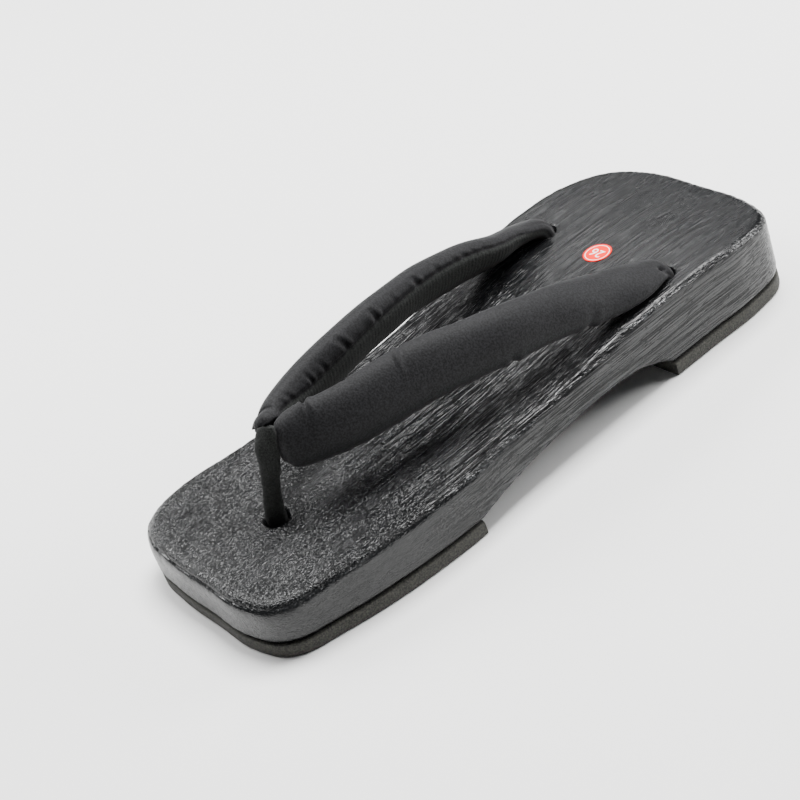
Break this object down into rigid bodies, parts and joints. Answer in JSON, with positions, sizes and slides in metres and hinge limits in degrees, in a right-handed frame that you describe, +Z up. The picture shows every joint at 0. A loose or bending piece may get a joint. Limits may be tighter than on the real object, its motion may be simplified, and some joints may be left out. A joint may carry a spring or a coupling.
{
  "type": "geta sandal",
  "caption": "Low wooden thong sandal on two rubber pads, arched underneath, with a padded cloth V strap and a velvet toe cord.",
  "frame": {"origin": "on the floor, under the middle of the shoe's outline", "axes": "+Z up, toe towards -Y, heel towards +Y, the wearer's outer side towards +X"},
  "size_m": [0.1098, 0.2702, 0.0671],
  "materials": {
    "lacquered_wood": "black lacquer over brushed open grain, satin",
    "rubber": "moulded, matt, finely speckled",
    "strap_cloth": "black smooth woven cloth over padding, matt satin",
    "velvet": "black ribbed velvet",
    "sticker_paper": "printed coated paper"
  },
  "bodies": {
    "root": {"base": "lacquered_wood", "pad_front": "rubber", "pad_heel": "rubber", "strap": "strap_cloth", "toe_cord": "velvet", "sticker": "sticker_paper"}
  },
  "joints": []
}
